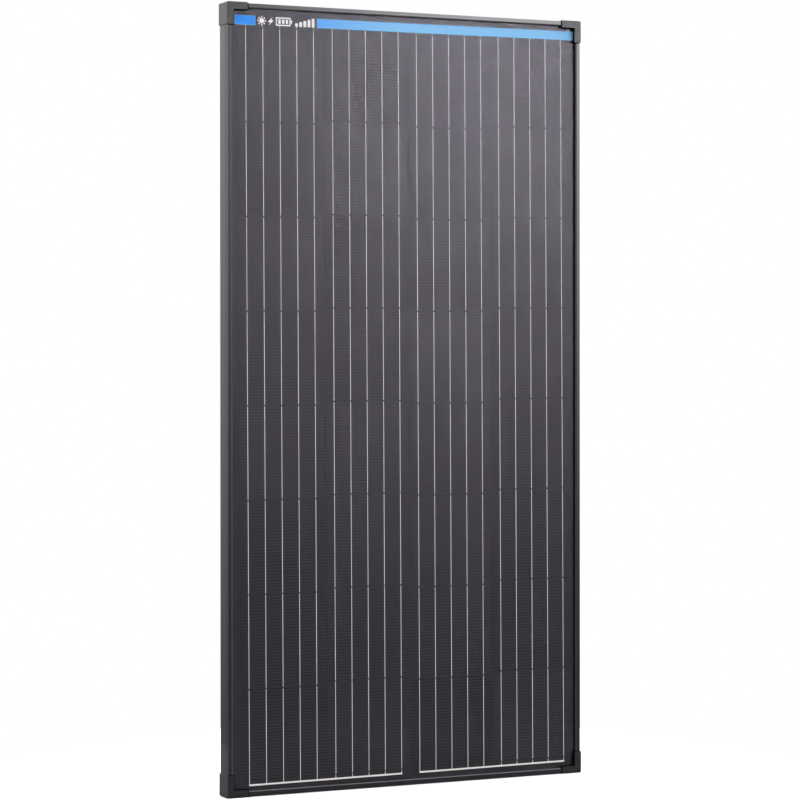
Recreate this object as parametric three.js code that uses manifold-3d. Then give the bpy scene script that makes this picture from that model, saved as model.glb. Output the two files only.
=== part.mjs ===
// A framed 32-cell monocrystalline solar module, upright, in millimetres.
// X runs across the module, Y from its front to its back, Z up its height.
// Inside the module group, y is the depth behind the front lip and x, z start at the module's centre.
import * as THREE from "three";
import { mergeVertices } from "three/addons/utils/BufferGeometryUtils.js";
import Module from "manifold-3d";

// Frame rails
const RAIL_WIDTH = 675;
const RAIL_HEIGHT = 1336.5;
const RAIL_DEPTH = 35;
const WALL = 1.5;
const LIP = 6.5;
const SLOT_BACK = 7.5;
const CHAMBER_WIDTH = 11;
const CHAMBER_BACK = 21.5;
const LONG_FLANGE = 28;
const SHORT_FLANGE = 20;
const SIDE_GROOVE = { start: 7, end: 9.4, deep: 0.4 };
const MITRE_GAP = 0.15;

// Holes in the rear flanges
const MOUNT_SLOT = { length: 14, width: 9, inset: 15, from_centre: 400 };
const GROUND_HOLE = { radius: 2, inset: 15, from_centre: 60 };
const DRAIN_SLOT = { length: 10, width: 3.5, inset: 12, from_centre: 285 };
// A slot's ends keep this much short of full half rounds, so that no two points of its outline meet
const SLOT_FLAT = 0.01;
// How far a cutting solid runs past the faces that it opens
const CUT_PAST = 1;

// Corner pieces
const CAP_ARM = 38;
const CAP_FACE = 12.4;
const CAP_WALL = 1.6;
const CAP_PLATE = 1;
const CAP_RADIUS = 2.5;
const CAP_SKIRT = 2.1;
const CAP_GAP = 0.1;
const CAP_PROUD = CAP_WALL + CAP_GAP;
const KEY_ARM = 42;
const KEY_CLEAR = 0.3;
const KEY_CHAMFER = 2;

// Laminate: each layer is [front, back] in depth
const LAMINATE_INSET = 2.5;
const GLASS = [2, 5.2];
const FRONT_ENCAPSULANT = [5.25, 5.6];
const CELL_LAYER = [5.65, 5.95];
const FILM_LAYER = [5.65, 5.8];
const TOP_BUS_LAYER = [5.85, 6.05];
const LEAD_LAYER = [6.1, 6.3];
const REAR_ENCAPSULANT = [6.35, 6.7];
const BACKSHEET = [6.75, 7.1];
const LAMINATE_RADIUS = 3;

// Glazing seal
const SEAL_WEB = [1.6, 2.3];
const SEAL_FRONT = [1.55, 1.95];
const SEAL_REAR = [7.15, 7.45];
const BEAD = { start: 6.6, end: 8.2, top: 0.9, shoulder: 1.6 };

// Cell matrix, which sits a little off the frame's centre and a little turned in it
const COLUMNS = 4;
const ROWS = 8;
const CELL = 156.75;
const CELL_GAP = 3;
const CELL_PITCH = CELL + CELL_GAP;
const CELL_CORNER_CUT = 8.5;
const BUSBARS = 5;
const BUSBAR_SPACING = 31.2;
const RIBBON_WIDTH = 1.1;
const MATRIX_OFFSET = { x: 2.4, z: -6 };
const MATRIX_TURN = THREE.MathUtils.degToRad(0.275);

// Bus ribbons, leads and header film, in the cell matrix's own frame
const STUB = { top: 2.2, bottom: 4.5 };
const BUS_WIDTH = 2.8;
const BUS_GAP = 0.3;
const TOP_BUS_LIFT = 3;
const LEAD_WIDTH = 4.5;
const LEAD_SPACING = 25;
const LEAD_RUN_Z = 650;
const LEAD_END_Z = 606;
const LEAD_TAB = { back: 16, thick: 0.3 };
const LEAD_SLOT = { width: 9, height: 4 };
const FILM = { left: -321.8, right: 328.2, bottom: 640, top: 656 };

// Junction box
const BOX = { width: 110, height: 90, radius: 6, wall: 2.2, front: 8.2, back: 28.2, top: 620 };
const BOX_LEAST_RADIUS = 1;
const BOX_BOTTOM = BOX.top - BOX.height;
const BOX_WINDOW = { width: 66, height: 10 };
const PAD = { front: 7.15, back: 8.15, inset: 1, band: 9 };
const GASKET = { front: 28.25, back: 29.15, inset: 0.4, band: 1.4 };
const LID = { front: 29.2, back: 31.4, rim: 3.6, rim_wall: 1.5, rim_gap: 0.5, panel: 8, sink: 0.6 };
const LID_TAB = { half: 9, thick: 1.8, gap: 0.6, front: 24, overlap: 1 };
const HINGE = { rise: 4, depth: 27.6, ear: 3.4, pin: 1.5, bore: 1.8, half: 23.6, ear_width: 6, gap: 0.4 };
const PIN_PAST = 1;

// Terminals and bypass diodes in the box
const TERMINAL = { half: 6, bottom: 570, top: 598.3, plate: 1, upright: 1.1, reach: 17 };
const CLAMP = { half: 5, bottom: 571, top: 582, deep: 8, hole: 1.9, wire: 1.6, wire_deep: 4 };
const SEAT_GAP = 0.1;
const HEAD_GAP = 0.3;
const SCREW = { shank: 1.6, head: 3.4, head_deep: 2.2, shank_deep: 6, slot: 0.9, slot_deep: 1 };
const DIODE = { body: 2.7, length: 9.5, wire: 1, z: 588, depth: 15.5, leg: 8.5 };

// Cable glands, which point down from the box
const GLAND = { spacing: 56, depth: 18, neck: 6, hole: 6.3, inside: 2.5 };
const HEX = { sides: 6, radius: 10.5, gap: 0.3, deep: 4 };
const GLAND_SLEEVE = { radius: 6.8, length: 9, bore: 4.4, mouth: 5.4, mouth_deep: 6 };
const GLAND_SEAL = { outer: 5.1, bore: 3.25, deep: 5.6, nose: 1.2 };
const SLIP_RING = { outer: 6.4, inner: 3.6, thick: 1, gap: 0.3 };
const NUT = { outer: 9.4, bore: 7.1, exit: 4.6, roof: 2, taper: 2.2, gap: 0.4 };
const NUT_RIB = { count: 12, root: 1, proud: 0.6, half: 0.6, inset: 1 };

// Blank rating label on the backsheet
const LABEL = { width: 104, height: 62, radius: 3, x: 170, z: -430, front: 7.15, back: 7.3 };

const ROUND_SEGMENTS = 20;
const CORNER_SEGMENTS = 3;
const MERGE_TOLERANCE = 1e-4;
const QUARTER = Math.PI / 2;

const material = (color, roughness, metalness) => () =>
  new THREE.MeshStandardMaterial({ color, roughness, metalness });
const blackAnodised = material(0x1d1e21, 0.42, 0.6);
const blackPlastic = material(0x191a1c, 0.62, 0);
const keyAluminium = material(0xb4b7ba, 0.4, 0.9);
const sealRubber = material(0x131416, 0.55, 0);
const panelGlass = material(0x56606c, 0.12, 0);
const encapsulant = material(0xdfe3e6, 0.3, 0);
const silicon = material(0x17181d, 0.35, 0.1);
const tinnedCopper = material(0xd2d1ca, 0.35, 0.8);
const blueFilm = material(0x2c86ee, 0.5, 0);
const backsheetFilm = material(0xe9eaea, 0.6, 0);
const brass = material(0xc2a25a, 0.35, 0.9);
const steel = material(0xa9abad, 0.35, 0.9);
const diodeEpoxy = material(0x202024, 0.4, 0);
const labelFilm = material(0xdcdddd, 0.45, 0);

const wasm = await Module();
wasm.setup();

// A closed geometry as a solid that can be cut and joined
function solidOf(geometry) {
  const bare = geometry.clone();
  bare.deleteAttribute("normal");
  bare.deleteAttribute("uv");
  const merged = mergeVertices(bare, MERGE_TOLERANCE);
  return new wasm.Manifold(
    new wasm.Mesh({
      numProp: 3,
      vertProperties: merged.attributes.position.array,
      triVerts: new Uint32Array(merged.index.array),
    }),
  );
}

// A solid as a flat-shaded geometry
function geometryOf(solid) {
  const { vertProperties, triVerts } = solid.getMesh();
  const indexed = new THREE.BufferGeometry();
  indexed.setAttribute("position", new THREE.BufferAttribute(vertProperties, 3));
  indexed.setIndex(new THREE.BufferAttribute(triVerts, 1));
  const geometry = indexed.toNonIndexed();
  geometry.computeVertexNormals();
  return geometry;
}

function joined(first, ...others) {
  return geometryOf(others.reduce((sum, g) => sum.add(solidOf(g)), solidOf(first)));
}

function cut(body, ...tools) {
  return geometryOf(tools.reduce((rest, g) => rest.subtract(solidOf(g)), solidOf(body)));
}

function block([x0, x1], [y0, y1], [z0, z1]) {
  const box = new THREE.BoxGeometry(x1 - x0, y1 - y0, z1 - z0);
  return box.translate((x0 + x1) / 2, (y0 + y1) / 2, (z0 + z1) / 2);
}

// An outline in x and z, given a thickness from depth front to depth back
function plate(outline, [front, back]) {
  const slab = new THREE.ExtrudeGeometry(outline, {
    depth: back - front,
    bevelEnabled: false,
    curveSegments: CORNER_SEGMENTS,
  });
  return slab.rotateX(QUARTER).translate(0, back, 0);
}

function rectangle(left, right, bottom, top) {
  const corners = [[left, bottom], [right, bottom], [right, top], [left, top]];
  return new THREE.Shape(corners.map(([x, z]) => new THREE.Vector2(x, z)));
}

function roundedRectangle(width, height, radius, x = 0, z = 0) {
  const a = width / 2 - radius;
  const b = height / 2 - radius;
  const outline = new THREE.Shape();
  outline.absarc(x + a, z - b, radius, -QUARTER, 0);
  outline.absarc(x + a, z + b, radius, 0, QUARTER);
  outline.absarc(x - a, z + b, radius, QUARTER, 2 * QUARTER);
  outline.absarc(x - a, z - b, radius, 2 * QUARTER, 3 * QUARTER);
  return outline;
}

function ring(outer, inner) {
  outer.holes.push(inner);
  return outer;
}

// A turned piece on the Z axis; the profile is a closed loop of [radius, height] going anticlockwise
function turned(profile, x, y, z, segments = ROUND_SEGMENTS) {
  const loop = [...profile, profile[0]].map(([r, h]) => new THREE.Vector2(r, h));
  return new THREE.LatheGeometry(loop, segments).rotateX(QUARTER).translate(x, y, z);
}

function rodAcross(radius, half, y, z, segments = ROUND_SEGMENTS) {
  const rod = new THREE.CylinderGeometry(radius, radius, 2 * half, segments);
  return rod.rotateZ(QUARTER).translate(0, y, z);
}

// A bar along X with 45 degree mitred ends: its section is [inset, depth] points,
// and inset, measured from the outer face, becomes z
function mitredBar(section, length) {
  const outline = new THREE.Shape(section.map(([inset, depth]) => new THREE.Vector2(inset, depth)));
  const bar = new THREE.ExtrudeGeometry(outline, { depth: 1, bevelEnabled: false });
  const position = bar.attributes.position;
  for (let i = 0; i < position.count; i++) {
    const inset = position.getX(i);
    const depth = position.getY(i);
    const half = length / 2 - inset - MITRE_GAP;
    position.setXYZ(i, (1 - 2 * position.getZ(i)) * half, depth, inset);
  }
  return bar;
}

function railSection(flange) {
  const { start, end, deep } = SIDE_GROOVE;
  return [
    [0, 0],
    [LIP, 0],
    [LIP, WALL],
    [WALL, WALL],
    [WALL, SLOT_BACK],
    [CHAMBER_WIDTH, SLOT_BACK],
    [CHAMBER_WIDTH, CHAMBER_BACK],
    [WALL, CHAMBER_BACK],
    [WALL, RAIL_DEPTH - WALL],
    [flange, RAIL_DEPTH - WALL],
    [flange, RAIL_DEPTH],
    [0, RAIL_DEPTH],
    [0, end],
    [deep, end - deep],
    [deep, start + deep],
    [0, start],
  ];
}

const CHAMBER = {
  inset: [WALL, CHAMBER_WIDTH - WALL],
  depth: [SLOT_BACK + WALL, CHAMBER_BACK - WALL],
};

function flangeCut(outline) {
  return plate(outline, [RAIL_DEPTH - WALL - CUT_PAST, RAIL_DEPTH + CUT_PAST]);
}

function rail(length, flange, cuts) {
  const [a, b] = CHAMBER.inset;
  const [c, d] = CHAMBER.depth;
  const chamber = [[a, c], [b, c], [b, d], [a, d]];
  return cut(mitredBar(railSection(flange), length), mitredBar(chamber, length + CUT_PAST), ...cuts);
}

function longRail() {
  const slots = [-1, 1].map((side) => {
    const { length, width, inset, from_centre } = MOUNT_SLOT;
    return flangeCut(roundedRectangle(length, width, width / 2 - SLOT_FLAT, side * from_centre, inset));
  });
  const grounds = [-1, 1].map((side) => {
    const { radius, inset, from_centre } = GROUND_HOLE;
    const circle = new THREE.Shape().absarc(side * from_centre, inset, radius, 0, 4 * QUARTER);
    return flangeCut(circle);
  });
  return rail(RAIL_HEIGHT, LONG_FLANGE, [...slots, ...grounds]);
}

function shortRail() {
  const drains = [-1, 1].map((side) => {
    const { length, width, inset, from_centre } = DRAIN_SLOT;
    return flangeCut(roundedRectangle(length, width, width / 2 - SLOT_FLAT, side * from_centre, inset));
  });
  return rail(RAIL_WIDTH, SHORT_FLANGE, drains);
}

function glazingSeal(length) {
  const [web, inside] = SEAL_WEB;
  const [front, frontBack] = SEAL_FRONT;
  const [rear, rearBack] = SEAL_REAR;
  const section = [
    [web, front],
    [BEAD.start, front],
    [BEAD.start, BEAD.top],
    [(BEAD.start + BEAD.end) / 2, BEAD.top],
    [BEAD.end, BEAD.shoulder],
    [BEAD.end, frontBack],
    [inside, frontBack],
    [inside, rear],
    [CHAMBER_WIDTH, rear],
    [CHAMBER_WIDTH, rearBack],
    [web, rearBack],
  ];
  return mitredBar(section, length);
}

// An L in x and z with its outer corner at (start, start)
function cornerOutline(start, width, arm, radius = 0) {
  const end = start + arm;
  const inner = start + width;
  const outline = new THREE.Shape();
  if (radius) outline.absarc(start + radius, start + radius, radius, 2 * QUARTER, 3 * QUARTER);
  else outline.moveTo(start, start);
  outline.lineTo(end, start);
  outline.lineTo(end, inner);
  outline.lineTo(inner, inner);
  outline.lineTo(inner, end);
  outline.lineTo(start, end);
  return outline;
}

function cornerCap() {
  const front = -CAP_GAP - CAP_PLATE;
  const back = RAIL_DEPTH + CAP_GAP + CAP_PLATE;
  const face = cornerOutline(-CAP_PROUD, CAP_FACE, CAP_ARM, CAP_RADIUS);
  const wall = cornerOutline(-CAP_PROUD, CAP_WALL, CAP_ARM, CAP_RADIUS);
  const skirtStart = CAP_FACE - CAP_PROUD - CAP_SKIRT;
  const skirt = cornerOutline(skirtStart, CAP_SKIRT, CAP_ARM - CAP_PROUD - skirtStart);
  return joined(
    plate(face, [front, -CAP_GAP]),
    plate(wall, [front, back]),
    plate(skirt, [front, GLASS[0] - CAP_GAP]),
    plate(face, [back - CAP_PLATE, back]),
  );
}

function cornerKey() {
  const start = CHAMBER.inset[0] + KEY_CLEAR;
  const inner = CHAMBER.inset[1] - KEY_CLEAR;
  const tip = KEY_ARM - KEY_CHAMFER;
  const outline = new THREE.Shape();
  outline.moveTo(start, start);
  outline.lineTo(tip, start);
  outline.lineTo(KEY_ARM, start + KEY_CHAMFER);
  outline.lineTo(KEY_ARM, inner - KEY_CHAMFER);
  outline.lineTo(tip, inner);
  outline.lineTo(inner, inner);
  outline.lineTo(inner, tip);
  outline.lineTo(inner - KEY_CHAMFER, KEY_ARM);
  outline.lineTo(start + KEY_CHAMFER, KEY_ARM);
  outline.lineTo(start, tip);
  return plate(outline, [CHAMBER.depth[0] + KEY_CLEAR, CHAMBER.depth[1] - KEY_CLEAR]);
}

function laminateOutline(radius = LAMINATE_RADIUS) {
  const inset = 2 * LAMINATE_INSET;
  return roundedRectangle(RAIL_WIDTH - inset, RAIL_HEIGHT - inset, radius);
}

// Where a point of the cell matrix lies in the module
function inModule(x, z) {
  return {
    x: MATRIX_OFFSET.x + x * Math.cos(MATRIX_TURN) - z * Math.sin(MATRIX_TURN),
    z: MATRIX_OFFSET.z + x * Math.sin(MATRIX_TURN) + z * Math.cos(MATRIX_TURN),
  };
}

function slottedSheet(layer) {
  const outline = laminateOutline();
  for (const side of [-1, 0, 1]) {
    const place = inModule(side * LEAD_SPACING, LEAD_END_Z);
    const [a, b] = [LEAD_SLOT.width / 2, LEAD_SLOT.height / 2];
    outline.holes.push(rectangle(place.x - a, place.x + a, place.z - b, place.z + b));
  }
  return plate(outline, layer);
}

const columnX = (column) => (column - (COLUMNS - 1) / 2) * CELL_PITCH;
const rowBottom = (row) => (row - ROWS / 2) * CELL_PITCH + CELL_GAP / 2;
const busbarX = (bar) => (bar - (BUSBARS - 1) / 2) * BUSBAR_SPACING;
const MATRIX_TOP = rowBottom(ROWS - 1) + CELL;
const MATRIX_BOTTOM = rowBottom(0);

function cellOutline(bottom) {
  const half = CELL / 2;
  const shoulder = half - CELL_CORNER_CUT;
  const middle = bottom + half;
  const corners = [
    [-shoulder, -half],
    [shoulder, -half],
    [half, -shoulder],
    [half, shoulder],
    [shoulder, half],
    [-shoulder, half],
    [-half, shoulder],
    [-half, -shoulder],
  ];
  return new THREE.Shape(corners.map(([x, z]) => new THREE.Vector2(x, middle + z)));
}

// A column of cut-corner cells joined by their ribbons, as one sheet
function cellString() {
  const cells = Array.from({ length: ROWS }, (_, row) => plate(cellOutline(rowBottom(row)), CELL_LAYER));
  const ribbons = Array.from({ length: BUSBARS }, (_, bar) => {
    const left = busbarX(bar) - RIBBON_WIDTH / 2;
    const [bottom, top] = [MATRIX_BOTTOM - STUB.bottom, MATRIX_TOP + STUB.top];
    return plate(rectangle(left, left + RIBBON_WIDTH, bottom, top), CELL_LAYER);
  });
  return joined(...cells, ...ribbons);
}

// A flat ribbon from the outermost busbar of one column to the outermost of another
function busRibbon(first, last, bottom, layer) {
  const reach = busbarX(BUSBARS - 1) + RIBBON_WIDTH / 2;
  const outline = rectangle(columnX(first) - reach, columnX(last) + reach, bottom, bottom + BUS_WIDTH);
  return plate(outline, layer);
}

const BOTTOM_BUS_Z = MATRIX_BOTTOM - STUB.bottom - BUS_GAP - BUS_WIDTH;
const TOP_BUS_Z = MATRIX_TOP + TOP_BUS_LIFT;

// A lead that runs behind the cells from a top bus ribbon and turns back into the junction box
function lead(side) {
  const x = side * LEAD_SPACING;
  const half = LEAD_WIDTH / 2;
  const drop = rectangle(x - half, x + half, LEAD_END_Z, LEAD_RUN_Z + half);
  const tabHeight = [LEAD_END_Z, LEAD_END_Z + LEAD_TAB.thick];
  const tab = block([x - half, x + half], [LEAD_LAYER[0], LEAD_TAB.back], tabHeight);
  const pieces = [plate(drop, LEAD_LAYER), tab];
  if (side) {
    const far = side * -columnX(0);
    const [left, right] = [Math.min(far, x), Math.max(far, x)];
    pieces.push(plate(rectangle(left, right, LEAD_RUN_Z - half, LEAD_RUN_Z + half), LEAD_LAYER));
    pieces.push(plate(rectangle(far - half, far + half, TOP_BUS_Z, LEAD_RUN_Z + half), LEAD_LAYER));
  }
  return joined(...pieces);
}

const boxCentreZ = BOX.top - BOX.height / 2;

function boxOutline(inset) {
  const radius = Math.max(BOX.radius - inset, BOX_LEAST_RADIUS);
  return roundedRectangle(BOX.width - 2 * inset, BOX.height - 2 * inset, radius, 0, boxCentreZ);
}

function windowOutline() {
  const [a, b] = [BOX_WINDOW.width / 2, BOX_WINDOW.height / 2];
  const { z } = inModule(0, LEAD_END_Z);
  return rectangle(-a, a, z - b, z + b);
}

function glandX(side) {
  return (side * GLAND.spacing) / 2;
}

function boxBase() {
  const floor = plate(boxOutline(0), [BOX.front, BOX.front + BOX.wall]);
  const walls = plate(ring(boxOutline(0), boxOutline(BOX.wall)), [BOX.front, BOX.back]);
  const hingeZ = BOX.top + HINGE.rise;
  const inner = HINGE.half + HINGE.gap;
  const ears = [-1, 1].flatMap((side) => {
    const span = [side * inner, side * (inner + HINGE.ear_width)].sort((a, b) => a - b);
    const half = HINGE.ear_width / 2;
    const eye = rodAcross(HINGE.ear, half, HINGE.depth, hingeZ).translate(side * (inner + half), 0, 0);
    const foot = block(span, [HINGE.depth - HINGE.ear, HINGE.depth], [BOX.top - WALL, hingeZ]);
    return [eye, foot];
  });
  const pinHole = rodAcross(HINGE.bore, BOX.width / 2, HINGE.depth, hingeZ);
  const entries = [-1, 1].map((side) => {
    const length = 2 * (BOX.wall + CUT_PAST);
    const hole = new THREE.CylinderGeometry(GLAND.hole, GLAND.hole, length, ROUND_SEGMENTS);
    return hole.rotateX(QUARTER).translate(glandX(side), GLAND.depth, BOX_BOTTOM);
  });
  const leads = plate(windowOutline(), [BOX.front - CUT_PAST, BOX.front + BOX.wall + CUT_PAST]);
  return cut(joined(floor, walls, ...ears), pinHole, leads, ...entries);
}

function boxPad() {
  return plate(ring(boxOutline(PAD.inset), boxOutline(PAD.inset + PAD.band)), [PAD.front, PAD.back]);
}

function lidGasket() {
  const { front, back, inset, band } = GASKET;
  return plate(ring(boxOutline(inset), boxOutline(inset + band)), [front, back]);
}

function boxLid() {
  const cover = plate(boxOutline(0), [LID.front, LID.back]);
  const rimOuter = BOX.wall + LID.rim_gap;
  const rimOutline = ring(boxOutline(rimOuter), boxOutline(rimOuter + LID.rim_wall));
  const rim = plate(rimOutline, [LID.front - LID.rim, LID.front]);
  const hingeZ = BOX.top + HINGE.rise;
  const knuckle = rodAcross(HINGE.ear, HINGE.half, HINGE.depth, hingeZ);
  const web = block([-HINGE.half, HINGE.half], [LID.front, LID.back], [BOX.top - BOX.radius, hingeZ]);
  const span = [-LID_TAB.half, LID_TAB.half];
  const tabTop = BOX_BOTTOM - LID_TAB.gap;
  const tabBottom = tabTop - LID_TAB.thick;
  const tab = block(span, [LID_TAB.front, LID.back], [tabBottom, tabTop]);
  const tabRoot = block(span, [LID.front, LID.back], [tabBottom, BOX_BOTTOM + LID_TAB.overlap]);
  const pinHole = rodAcross(HINGE.bore, BOX.width / 2, HINGE.depth, hingeZ);
  const recess = plate(boxOutline(LID.panel), [LID.back - LID.sink, LID.back + CUT_PAST]);
  return cut(joined(cover, rim, knuckle, web, tab, tabRoot), pinHole, recess);
}

function hingePin() {
  const half = HINGE.half + HINGE.gap + HINGE.ear_width + PIN_PAST;
  return rodAcross(HINGE.pin, half, HINGE.depth, BOX.top + HINGE.rise);
}

const BOX_FLOOR = BOX.front + BOX.wall + SEAT_GAP;

function terminal(side) {
  const x = side * LEAD_SPACING;
  const span = [x - TERMINAL.half, x + TERMINAL.half];
  const base = block(span, [BOX_FLOOR, BOX_FLOOR + TERMINAL.plate], [TERMINAL.bottom, TERMINAL.top]);
  const upright = block(span, [BOX_FLOOR, TERMINAL.reach], [TERMINAL.top - TERMINAL.upright, TERMINAL.top]);
  const clamp = block(
    [x - CLAMP.half, x + CLAMP.half],
    [BOX_FLOOR, BOX_FLOOR + CLAMP.deep],
    [CLAMP.bottom, CLAMP.top],
  );
  const middle = (CLAMP.bottom + CLAMP.top) / 2;
  const screwHole = new THREE.CylinderGeometry(CLAMP.hole, CLAMP.hole, CLAMP.deep, ROUND_SEGMENTS / 2);
  screwHole.translate(x, BOX_FLOOR + TERMINAL.plate + CLAMP.deep / 2, middle);
  const wireLength = CLAMP.wire_deep + CUT_PAST;
  const wireHole = new THREE.CylinderGeometry(CLAMP.wire, CLAMP.wire, wireLength, ROUND_SEGMENTS / 2);
  const wireMiddle = CLAMP.bottom - CUT_PAST + wireLength / 2;
  wireHole.rotateX(QUARTER).translate(x, BOX_FLOOR + CLAMP.deep / 2, wireMiddle);
  return cut(joined(base, upright, clamp), screwHole, wireHole);
}

function terminalScrew(side) {
  const head = BOX_FLOOR + CLAMP.deep + HEAD_GAP;
  const x = side * LEAD_SPACING;
  const middle = (CLAMP.bottom + CLAMP.top) / 2;
  const shank = new THREE.CylinderGeometry(SCREW.shank, SCREW.shank, SCREW.shank_deep, ROUND_SEGMENTS / 2);
  shank.translate(x, head - SCREW.shank_deep / 2 + SEAT_GAP, middle);
  const cap = new THREE.CylinderGeometry(SCREW.head, SCREW.head, SCREW.head_deep, ROUND_SEGMENTS);
  cap.translate(x, head + SCREW.head_deep / 2, middle);
  const top = head + SCREW.head_deep;
  const slot = block(
    [x - SCREW.slot / 2, x + SCREW.slot / 2],
    [top - SCREW.slot_deep, top + CUT_PAST],
    [middle - 2 * SCREW.head, middle + 2 * SCREW.head],
  );
  return cut(joined(cap, shank), slot);
}

function diode(side) {
  const x = (side * LEAD_SPACING) / 2;
  const half = DIODE.wire / 2;
  const plateFace = BOX_FLOOR + TERMINAL.plate + SEAT_GAP;
  const body = rodAcross(DIODE.body, DIODE.length / 2, DIODE.depth, DIODE.z, ROUND_SEGMENTS / 2);
  body.translate(x, 0, 0);
  const depth = [DIODE.depth - half, DIODE.depth + half];
  const height = [DIODE.z - half, DIODE.z + half];
  const wire = block([x - DIODE.leg - half, x + DIODE.leg + half], depth, height);
  const legs = [-1, 1].map((end) => {
    const middle = x + end * DIODE.leg;
    return block([middle - half, middle + half], [plateFace, depth[1]], height);
  });
  return joined(body, wire, ...legs);
}

const SLEEVE_END = -HEX.deep - GLAND_SLEEVE.length;
const SEAL_END = SLEEVE_END - GLAND_SEAL.nose;
const RING_END = SEAL_END - SLIP_RING.gap - SLIP_RING.thick;

function glandBody(side) {
  const { radius, bore, mouth, mouth_deep } = GLAND_SLEEVE;
  const inside = GLAND.inside + BOX.wall;
  const sleeve = turned(
    [
      [bore, inside],
      [bore, SLEEVE_END + mouth_deep],
      [mouth, SLEEVE_END + mouth_deep],
      [mouth, SLEEVE_END],
      [radius, SLEEVE_END],
      [radius, -HEX.deep / 2],
      [GLAND.neck, -HEX.deep / 2],
      [GLAND.neck, inside],
    ],
    glandX(side),
    GLAND.depth,
    BOX_BOTTOM,
  );
  const hex = turned(
    [
      [bore, -HEX.gap],
      [bore, -HEX.deep],
      [HEX.radius, -HEX.deep],
      [HEX.radius, -HEX.gap],
    ],
    glandX(side),
    GLAND.depth,
    BOX_BOTTOM,
    HEX.sides,
  );
  return joined(sleeve, hex);
}

function glandSeal(side) {
  const { outer, bore, deep, nose } = GLAND_SEAL;
  const profile = [
    [bore, SLEEVE_END + deep],
    [bore, SEAL_END],
    [outer - nose, SEAL_END],
    [outer, SLEEVE_END],
    [outer, SLEEVE_END + deep],
  ];
  return turned(profile, glandX(side), GLAND.depth, BOX_BOTTOM);
}

function slipRing(side) {
  const profile = [
    [SLIP_RING.inner, RING_END + SLIP_RING.thick],
    [SLIP_RING.inner, RING_END],
    [SLIP_RING.outer, RING_END],
    [SLIP_RING.outer, RING_END + SLIP_RING.thick],
  ];
  return turned(profile, glandX(side), GLAND.depth, BOX_BOTTOM);
}

function glandNut(side) {
  const mouth = -HEX.deep - NUT.gap;
  const ceiling = RING_END - NUT.gap;
  const end = ceiling - NUT.roof;
  const profile = [
    [NUT.bore, mouth],
    [NUT.bore, ceiling],
    [NUT.exit, ceiling],
    [NUT.exit, end],
    [NUT.outer - NUT.taper, end],
    [NUT.outer, ceiling],
    [NUT.outer, mouth],
  ];
  const dome = turned(profile, 0, 0, 0);
  const { count, root, proud, half, inset } = NUT_RIB;
  const ribs = Array.from({ length: count }, (_, i) => {
    const rib = block([NUT.outer - root, NUT.outer + proud], [-half, half], [ceiling + inset, mouth - inset]);
    return rib.rotateZ((i * 4 * QUARTER) / count);
  });
  return joined(dome, ...ribs).translate(glandX(side), GLAND.depth, BOX_BOTTOM);
}

function ratingLabel() {
  const { width, height, radius, x, z, front, back } = LABEL;
  return plate(roundedRectangle(width, height, radius, x, z), [front, back]);
}

const panel = new THREE.Group();
panel.position.set(0, -RAIL_DEPTH / 2, RAIL_HEIGHT / 2 + CAP_PROUD);

function add(parent, name, geometry, makeMaterial) {
  const mesh = new THREE.Mesh(geometry, makeMaterial());
  mesh.name = name;
  parent.add(mesh);
  return mesh;
}

// The four sides: each is made as the bottom one and turned about the depth axis
const SIDES = [
  { name: "bottom", turn: 0, length: RAIL_WIDTH, reach: RAIL_HEIGHT / 2, make: shortRail },
  { name: "left", turn: QUARTER, length: RAIL_HEIGHT, reach: RAIL_WIDTH / 2, make: longRail },
  { name: "top", turn: 2 * QUARTER, length: RAIL_WIDTH, reach: RAIL_HEIGHT / 2, make: shortRail },
  { name: "right", turn: -QUARTER, length: RAIL_HEIGHT, reach: RAIL_WIDTH / 2, make: longRail },
];
for (const { name, turn, length, reach, make } of SIDES) {
  const side = new THREE.Group();
  side.rotation.y = turn;
  add(side, `rail_${name}`, make(), blackAnodised).position.z = -reach;
  add(side, `glazing_seal_${name}`, glazingSeal(length), sealRubber).position.z = -reach;
  panel.add(side);
}

// The four corners: each is made as the bottom left one and turned about the depth axis
const CORNERS = [
  { name: "bottom_left", x: -1, z: -1, turn: 0 },
  { name: "top_left", x: -1, z: 1, turn: QUARTER },
  { name: "top_right", x: 1, z: 1, turn: 2 * QUARTER },
  { name: "bottom_right", x: 1, z: -1, turn: -QUARTER },
];
for (const { name, x, z, turn } of CORNERS) {
  const corner = new THREE.Group();
  corner.position.set((x * RAIL_WIDTH) / 2, 0, (z * RAIL_HEIGHT) / 2);
  corner.rotation.y = turn;
  add(corner, `corner_cap_${name}`, cornerCap(), blackPlastic);
  add(corner, `corner_key_${name}`, cornerKey(), keyAluminium);
  panel.add(corner);
}

add(panel, "front_glass", plate(laminateOutline(), GLASS), panelGlass);
add(panel, "front_encapsulant", plate(laminateOutline(), FRONT_ENCAPSULANT), encapsulant);
add(panel, "rear_encapsulant", slottedSheet(REAR_ENCAPSULANT), encapsulant);
add(panel, "backsheet", slottedSheet(BACKSHEET), backsheetFilm);

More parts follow.
